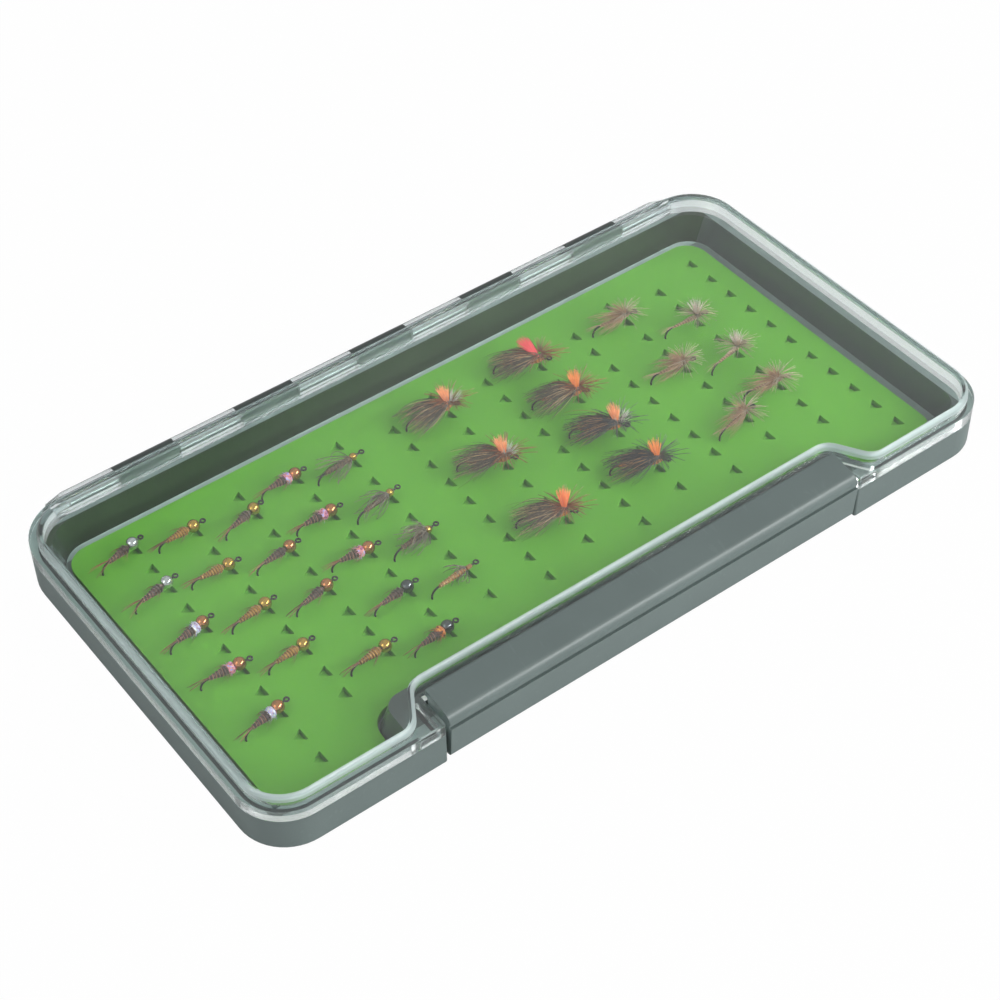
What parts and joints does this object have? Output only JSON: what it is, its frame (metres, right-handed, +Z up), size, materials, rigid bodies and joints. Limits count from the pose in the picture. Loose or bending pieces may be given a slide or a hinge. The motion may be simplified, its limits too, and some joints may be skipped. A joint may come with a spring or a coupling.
{
  "type": "fly box",
  "caption": "Slim fishing fly box: grey tray with a slitted green silicone sheet holding flies, clear hinged lid and a front latch bar.",
  "frame": {"origin": "middle of the tray's flat underside, measured on the case without its hinge barrel", "axes": "+X to the right along the long side, seen from the latch; +Y from the latch to the hinge; +Z up through the lid"},
  "size_m": [0.1906, 0.1034, 0.014],
  "materials": {
    "tray_plastic": "fine satin moulded grey-green plastic",
    "clear_lid": "clear polycarbonate, polished",
    "latch_plastic": "fine satin moulded grey-green plastic",
    "green_silicone": "soft matte green silicone",
    "seal_rubber": "black soft rubber",
    "pin_steel": "drawn stainless wire",
    "black_wire": "bronzed black hook wire",
    "silver_metal": "polished silver bead",
    "copper_metal": "polished copper bead",
    "gold_metal": "polished gold bead",
    "black_metal": "glossy black bead",
    "tan_dubbing": "tan dubbed thread",
    "dark_dubbing": "dark brown thread with copper rib",
    "pink_dubbing": "pink and lilac sparkle dubbing",
    "tail_fibre": "brown feather fibres",
    "grey_hackle": "speckled partridge hackle",
    "elk_hair": "dark banded elk hair",
    "orange_yarn": "bright orange yarn",
    "brown_hackle": "stiff brown cock hackle",
    "pale_hair": "pale calf hair",
    "pale_hackle": "pale ginger hackle"
  },
  "bodies": {
    "base": {"base_tray": "tray_plastic", "silicone_sheet": "green_silicone", "rubber_seal": "seal_rubber", "hinge_pin": "pin_steel", "latch_pins": "pin_steel", "nymph_hooks": "black_wire", "silver_beads": "silver_metal", "copper_beads": "copper_metal", "gold_beads": "gold_metal", "black_beads": "black_metal", "tan_nymph_bodies": "tan_dubbing", "dark_nymph_bodies": "dark_dubbing", "nymph_collars": "pink_dubbing", "nymph_tails": "tail_fibre", "wet_hooks": "black_wire", "wet_bodies": "dark_dubbing", "wet_hackles": "grey_hackle", "sedge_hooks": "black_wire", "sedge_bodies": "dark_dubbing", "sedge_wings": "elk_hair", "sedge_posts": "orange_yarn", "sedge_hackles": "brown_hackle", "pale_hooks": "black_wire", "pale_bodies": "tan_dubbing", "pale_tails": "tail_fibre", "pale_posts": "pale_hair", "pale_hackles": "pale_hackle"},
    "lid": {"lid": "clear_lid"},
    "latch": {"latch_bar": "latch_plastic"}
  },
  "joints": [
    {"name": "lid_hinge", "type": "hinge", "parent": "base", "child": "lid", "pos_m": [0, 0.05065, 0.009], "axis": [-1, 0, 0], "range_deg": [0, 175]},
    {"name": "latch_hinge", "type": "hinge", "parent": "base", "child": "latch", "pos_m": [0, -0.0472, 0.0036], "axis": [1, 0, 0], "range_deg": [0, 90]}
  ]
}
